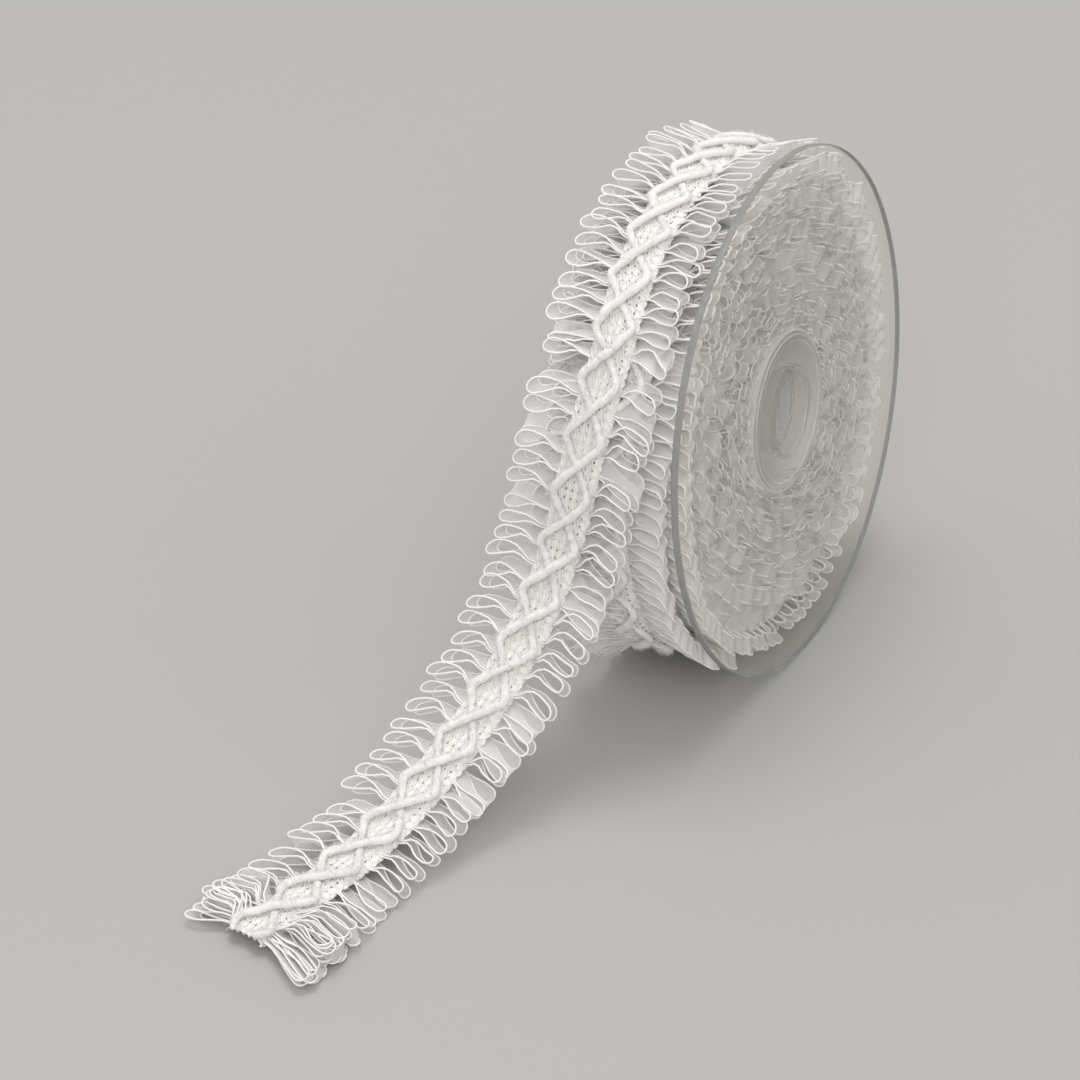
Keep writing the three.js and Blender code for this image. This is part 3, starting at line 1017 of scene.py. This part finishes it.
def loops_along(start, end, root, is_packed):
    """A row of loops on both sides of the heading, in the order that the ribbon runs through them."""
    first = math.ceil(diamonds_at(start) * LOOPS_PER_DIAMOND)
    last = math.floor(diamonds_at(end) * LOOPS_PER_DIAMOND)
    number = np.repeat(np.arange(first, last), 2)
    side = np.tile([1.0, -1.0], last - first)
    count = len(number)
    is_left = side < 0
    in_pair = np.where(is_left, LEFT_IN_PAIR, RIGHT_IN_PAIR)
    middle = along_at_diamond((number + in_pair) / LOOPS_PER_DIAMOND)
    turns = look_up("turns", middle)
    on_roll = 1 - ramp(middle, *FLARE_FADES)
    on_drop = ramp(middle, *DROP_STARTS) * (1 - ramp(middle, *DROP_ENDS))
    near_end = ramp(middle - LOOSE_LENGTH, *LOOPS_FLATTEN)
    hangs = ramp(turns, *HANGS_FROM) * (1 - ramp(turns, *HANGS_TO))
    ruffle = hangs * is_left

    own = drawn(LOOP, count)
    added = drawn(RUFFLE, count)
    reach = loop_reach(middle, turns, is_left, own["shorter_by"])
    usual_lean = LOOP_LEAN["usual"] + LOOP_LEAN["on_drop"] * on_drop + LOOP_LEAN["at_end"] * near_end
    lies_flat = loops_lying_flat(turns, is_left, own["flat"])
    lean = np.where(lies_flat, own["flat_lean"], usual_lean + own["lean"])
    flare = np.where(is_left, FLARE["left"], FLARE["right"]) * on_roll + own["flare"]
    second_flare = np.where(is_left, FLARE["second_left"], FLARE["second_right"])
    flare = flare + np.where(turns > 1, second_flare, 0.0)
    sweep = loop_sweep(middle, turns, is_left, near_end) * (reach - root) + own["sweep"]
    half = np.where(is_left, own["half_left"], own["half_right"])
    loops = {
        "middle": middle,
        "side": side,
        "root": np.full(count, root),
        "reach": reach,
        "half": half + ruffle * added["half"],
        "sweep": sweep + ruffle * added["sweep"],
        "wave": own["wave"] + ruffle * added["wave"],
        "base": np.full(count, LOOP_BASE),
        "flare": flare + hangs * np.where(is_left, added["flare"], FLARE["hanging_right"]),
        "root_lean": LOOP_LEAN["root"] + LOOP_LEAN["root_ruffled"] * ruffle,
        "lean": lean + ruffle * added["lean"],
        "tilt": own["tilt"] + ruffle * added["tilt"],
    }
    if is_packed:
        packed = drawn(PACKED, count)
        loops.update(packed, sweep=loops["sweep"] + packed["sweep"])

    legs = drawn(LEGS, count)
    for key in ("pinch", "belly"):
        legs[key] = np.where(is_left, legs.pop(key + "_left"), legs.pop(key + "_right"))
    for key, change in RUFFLED_LEGS.items():
        legs[key] = legs[key] + change * ruffle
    return loops | legs


def crushed_loops():
    """The loops at the cut end, which are crushed flat on one another."""
    side = np.tile([1.0, -1.0], CRUSHED_COUNT // 2)
    is_left = side < 0
    loops = drawn(CRUSHED, CRUSHED_COUNT)
    root = HEADING_WIDTH / 2 - CRUSHED_ROOT_UNDER_HEADING
    reach = LOOP_REACH + np.where(is_left, 0.0, CRUSHED_RIGHT_LONGER) - loops.pop("shorter_by")
    usual_sweep = np.where(is_left, CRUSHED_SWEEP["left"], CRUSHED_SWEEP["right"])
    loops["sweep"] = (usual_sweep + loops["sweep"]) * (reach - root)
    loops["middle"] = LOOSE_LENGTH + loops["middle"]
    fixed = {
        "side": side,
        "root": np.full(CRUSHED_COUNT, root),
        "reach": reach,
        "root_lean": np.full(CRUSHED_COUNT, LOOP_LEAN["root"]),
    }
    return loops | fixed


def set_out(loops, to_open_end):
    """Moves the left loops out towards the open end of the roll."""
    out = np.where(loops["side"] < 0, to_open_end, 0.0)
    return loops | {key: loops[key] + out for key in ("root", "reach")}


def outer_ribbon(name, start, end, cloth, to_open_end=0.0):
    loops = loops_along(start, end, HEADING_WIDTH / 2 - ROOT_UNDER_HEADING, is_packed=False)
    return ribbon_pieces(name, set_out(loops, to_open_end), RIBBON_STEPS, True, cloth)


def inner_ribbon(start, end):
    """Loops of the inner turns, which show at the two ends of the roll. The turns lie now nearer to one end
    and now to the other, so the loops at the open end are set out as far as that end."""
    loops = loops_along(start, end, PACKED_ROOT, is_packed=True)
    loops = set_out(loops, OPEN_END_CENTRE - turn_centre(look_up("turns", loops["middle"])))
    for side, name in ((1.0, "wound_loops_flange_end"), (-1.0, "wound_loops_open_end")):
        at_end = {key: value[loops["side"] == side] for key, value in loops.items()}
        ribbon_pieces(name, at_end, PACKED_STEPS, False, PACKED_ORGANZA)


# Heading: a knitted ground of chain stitches and laid-in yarn, with two cords that cross in diamonds on it

def even_steps(start, end, step):
    return np.linspace(start, end, max(2, round((end - start) / step)))


def cord_lines(along):
    """Middle lines of the two cords, and how far the stitches press each in where it runs below."""
    phase = math.pi * diamonds_at(along)
    swing = CORD_SWING * np.arcsin(CORD_SHARPNESS * np.cos(phase)) / math.asin(CORD_SHARPNESS)
    over = np.sin(phase)
    stitch = 0.5 + 0.5 * np.cos(2 * STITCHES_PER_DIAMOND * phase)
    lines, pressed = [], []
    for hand in (1, -1):
        lines.append((hand * swing, CORD_HEIGHT + CORD_OVER * hand * over))
        pressed.append(CORD_PRESSED * np.clip(-hand * over, 0, 1) * stitch)
    return np.array(lines), np.array(pressed)


def uneven(along, spacing, depth):
    """A random run of values along the trim, for each of the two cords."""
    knots = np.arange(along[0], along[-1] + spacing, spacing)
    return np.array([np.interp(along, knots, chance.normal(0, depth, len(knots))) for _ in range(2)])


def heading_cords(name, start, end):
    along = even_steps(start, end, CORD_STEP)
    middle, pressed = cord_lines(along)
    across = middle[:, 0] + uneven(along, **CORD_WANDERS)
    lines = place(along, across, middle[:, 1] + uneven(along, **CORD_RISES))
    up = np.broadcast_to(look_up("up", along), lines.shape)
    lumps = 1 + chance.normal(0, CORD_LUMPS, (*pressed.shape, CORD_SIDES))
    radius = CORD_RADIUS * (1 + uneven(along, **CORD_SWELLS) - pressed)[..., None] * lumps
    cords = tube(lines, up, radius, CORD_SIDES, flatten=CORD_FLATTENED, seal=True, **CORD_STRANDS)
    return make_piece(name, [cords], HEADING_CORD)


def cord_fuzz(name, start, end, fibres_per_mm):
    """Short fibre ends that stand out of the cords."""
    count = round((end - start) * fibres_per_mm)
    along = np.sort(chance.uniform(start, end, count))
    middle, _ = cord_lines(along)
    which = chance.integers(0, 2, count)
    pick = np.arange(count)
    across, height = middle[which, 0, pick], middle[which, 1, pick]
    round_at = chance.uniform(-FIBRES_PAST_SIDE, math.pi + FIBRES_PAST_SIDE, count)
    out = np.linspace(0, 1, FIBRE_POINTS)[None, :]
    reach = CORD_RADIUS * FIBRE_ROOT_SHARE + out * chance.uniform(*FIBRE_LENGTH, (count, 1))
    drift = out ** FIBRE_DRIFT_POWER * chance.normal(0, FIBRE_DRIFT, (count, 1))
    curl = out ** 2 * chance.normal(0, FIBRE_CURL, (count, 1))
    points = place(
        along[:, None] + drift,
        across[:, None] + reach * np.cos(round_at[:, None] + curl),
        height[:, None] + CORD_FLATTENED * reach * np.sin(round_at[:, None] + curl),
    )
    up = np.broadcast_to(look_up("side", along)[:, None, :] + FIBRE_TILT, points.shape)
    return make_piece(name, [tube(points, up, FIBRE_RADIUS, YARN_SIDES)], FUZZ)


def ground_height(across):
    """The strip is flat with its edges turned down to the loops."""
    return GROUND_HEIGHT - EDGE_DROP * ramp(np.abs(across), *EDGE_DROPS)


def heading_knit(name, start, end):
    """Chains of stitches along the heading, two strands each, and the yarn laid in from chain to chain."""
    along = even_steps(start, end, KNIT_STEP)
    phase = 2 * math.pi * diamonds_at(along) * STITCHES_PER_DIAMOND
    lines = []
    for chain in np.linspace(-CHAINS_REACH, CHAINS_REACH, CHAINS):
        for hand in (-1, 1):
            across = chain + hand * (STRAND_OFF - STRAND_SWING * np.cos(phase))
            lift = STRAND_LIFT + STRAND_WAVE * (hand * np.sin(phase) + np.cos(phase))
            lines.append(place(along, across, ground_height(across) + lift))
    for gap in np.linspace(-LAID_IN_REACH, LAID_IN_REACH, CHAINS - 1):
        across = gap + LAID_IN_SWING * np.cos(phase / 2)
        lift = LAID_IN_LIFT * (1 + np.sin(phase))
        lines.append(place(along, across, ground_height(across) + lift))
    lines = np.stack(lines)
    up = np.broadcast_to(look_up("up", along), lines.shape)
    return make_piece(name, [tube(lines, up, YARN_RADIUS, YARN_SIDES)], KNIT_YARN)


def heading_ground(name, start, end, material):
    """The thin knitted strip that everything is worked on."""
    along = even_steps(start, end, GROUND_STEP)
    across = np.linspace(-HEADING_WIDTH / 2, HEADING_WIDTH / 2, GROUND_POINTS)
    points = place(along[:, None], across[None, :], ground_height(across)[None, :])
    run = (along - start)[None, :]
    return make_piece(name, [grid(points[None], run)], material)


# Roll

def core_section():
    """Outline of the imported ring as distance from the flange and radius: from the wrap of yarn on the hub up
    the flange end, over the outside, down the open end and back along the hub."""
    face = np.linspace(CORE_INSIDE, CORE_OUTSIDE, CORE_STEPS["end"])
    flange_end = np.interp(face, CORE_BRIM, [CORE_FLANGE_END, CORE_FLANGE_BRIM])
    open_end = np.interp(face, CORE_BRIM, [CORE_OPEN_END, CORE_OPEN_BRIM])
    outside = np.linspace(CORE_FLANGE_BRIM, CORE_OPEN_BRIM, CORE_STEPS["outside"])
    on_hub = np.linspace(WRAP_TO, WRAP_FROM, CORE_STEPS["wrap"])
    section = [(WRAP_FROM, WRAP_INSIDE), (WRAP_FROM, WRAP_OUTSIDE)]
    section += list(zip(flange_end, face))
    section += [(from_flange, CORE_OUTSIDE) for from_flange in outside[1:]]
    section += list(zip(open_end, face))[-2::-1]
    section += [(WRAP_TO, WRAP_OUTSIDE)]
    section += [(from_flange, WRAP_INSIDE) for from_flange in on_hub[:-1]]
    return np.array(section)


def roll_core():
    """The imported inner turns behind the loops: a lumpy ring, with the first wrap of yarn on the hub."""
    section = core_section()
    angle = np.linspace(0, 2 * math.pi, CORE_STEPS["round"], endpoint=False)
    is_packed = section[:, 1] >= CORE_INSIDE
    is_flange_end = is_packed & (section[:, 0] <= CORE_FLANGE_END)
    is_open_end = is_packed & (section[:, 0] >= CORE_OPEN_END)
    on_end = np.where(is_flange_end, 1.0, np.where(is_open_end, -1.0, 0.0))
    on_outside = (section[:, 1] == CORE_OUTSIDE) & (on_end == 0)
    turns = (TURN_LEAVES - angle) / (2 * math.pi) + CORE_TURN
    bulge = underside_radius(turns) - underside_radius(np.full_like(angle, CORE_TURN))
    lump = chance.normal(0, CORE_LUMPS, (len(angle), len(section)))
    from_flange = section[None, :, 0] + lump * on_end
    radius = section[None, :, 1] + lump * on_outside
    radius = radius + np.maximum(bulge, 0)[:, None] * ramp(section[:, 1], CORE_INSIDE, CORE_OUTSIDE)
    points = leaned(around_axis(from_flange, radius, angle[:, None]))
    run = (angle * CORE_OUTSIDE)[None, :]
    # The core is drawn greyer than the rest of the trim, painted shade for the turns deep in the roll.
    piece = make_piece("wound_core", [grid(points[None], run, True, True)], SHADED_CORE_YARN)
    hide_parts("wound_trim")


# All the pieces, from the inside out

ONE_TURN_BACK = float(np.interp(-1.0, -WOUND["turns"], WOUND["along"]))
TWO_TURNS_BACK = float(np.interp(-2.0, -WOUND["turns"], WOUND["along"]))
INNER_END = float(WOUND["along"][0]) + INNER_TAIL

clear_spool()
roll_core()
inner_ribbon(INNER_END, TWO_TURNS_BACK)
outer_ribbon("second_turn_ribbon", TWO_TURNS_BACK, ONE_TURN_BACK, WOUND_ORGANZA, SECOND_TURN_TO_OPEN_END)
# The second turn's ground is drawn in the greyer core yarn, the same painted shade.
heading_ground("second_turn_ground", TWO_TURNS_BACK, ONE_TURN_BACK, SHADED_CORE_YARN)

outer_ribbon("turn_ribbon", ONE_TURN_BACK, 0.0, WOUND_ORGANZA)
turn_ground = heading_ground("turn_ground", ONE_TURN_BACK, 0.0, GROUND)
heading_cords("turn_cords", ONE_TURN_BACK, CORD_OVERLAP)
heading_knit("turn_knit", ONE_TURN_BACK, KNIT_OVERLAP)
cord_fuzz("turn_fuzz", ONE_TURN_BACK, 0.0, TURN_FIBRES_PER_MM)
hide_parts("outer_turn")

end_ribbon = outer_ribbon("end_ribbon", 0.0, LOOSE_LENGTH + FRAYED["ribbon"], ORGANZA)
crushed_ribbon = ribbon_pieces("cut_end_ribbon", crushed_loops(), RIBBON_STEPS, False, WOUND_ORGANZA)
end_ground = heading_ground("end_ground", 0.0, LOOSE_LENGTH + FRAYED["ground"], GROUND)
end_cords = heading_cords("end_cords", 0.0, LOOSE_LENGTH + FRAYED["cords"])
end_knit = heading_knit("end_knit", 0.0, LOOSE_LENGTH + FRAYED["knit"])
end_fuzz = cord_fuzz("end_fuzz", 0.0, LOOSE_LENGTH + FRAYED["cords"], END_FIBRES_PER_MM)
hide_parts("loose_end")


# Floor, light and camera

def floor():
    mesh = bpy.data.meshes.new("floor")
    signs = [(-1, -1), (1, -1), (1, 1), (-1, 1)]
    mesh.from_pydata([(x * FLOOR_HALF, y * FLOOR_HALF, 0) for x, y in signs], [], [(0, 1, 2, 3)])
    mesh.materials.append(floor_paper())
    ground = bpy.data.objects.new("floor", mesh)
    bpy.context.scene.collection.objects.link(ground)


def soft_light(name, at, size, watts):
    lamp = bpy.data.lights.new(name, "AREA")
    lamp.shape = "DISK"
    lamp.size = size
    lamp.energy = watts
    holder = bpy.data.objects.new(name, lamp)
    holder.location = at
    holder.rotation_euler = (Vector(LIGHT_AIM) - Vector(at)).to_track_quat("-Z", "Y").to_euler()
    bpy.context.scene.collection.objects.link(holder)


def studio_light():
    for lamp in LAMPS:
        soft_light(**lamp)
    world = bpy.data.worlds.new("studio")
    world.use_nodes = True
    surround = world.node_tree.nodes["Background"]
    surround.inputs["Color"].default_value = linear(SURROUND)
    surround.inputs["Strength"].default_value = SURROUND_STRENGTH
    bpy.context.scene.world = world


def camera():
    cos, sin = math.cos(VIEW_ELEVATION), math.sin(VIEW_ELEVATION)
    back = Vector((math.sin(VIEW_AZIMUTH) * cos, -math.cos(VIEW_AZIMUTH) * cos, sin))
    right = Vector((math.cos(VIEW_AZIMUTH), math.sin(VIEW_AZIMUTH), 0))
    up = back.cross(right)
    flange_foot = Vector(SPOOL_FOOT)
    aim = flange_foot + Vector((0, 0, FLANGE_RADIUS)) + right * AIM_RIGHT + up * AIM_UP
    at = (aim + back * VIEW_DISTANCE) * MM
    data = bpy.data.cameras.new("camera")
    data.lens = LENS
    data.sensor_width = SENSOR
    data.clip_start = NEAREST_SEEN * MM
    viewer = bpy.data.objects.new("camera", data)
    turned = Matrix((right, up, back)).transposed().to_4x4()
    viewer.matrix_world = Matrix.Translation(at) @ turned
    bpy.context.scene.collection.objects.link(viewer)
    bpy.context.scene.camera = viewer


floor()
studio_light()
camera()
bpy.context.scene.view_settings.view_transform = "Standard"

bpy.context.view_layer.update()
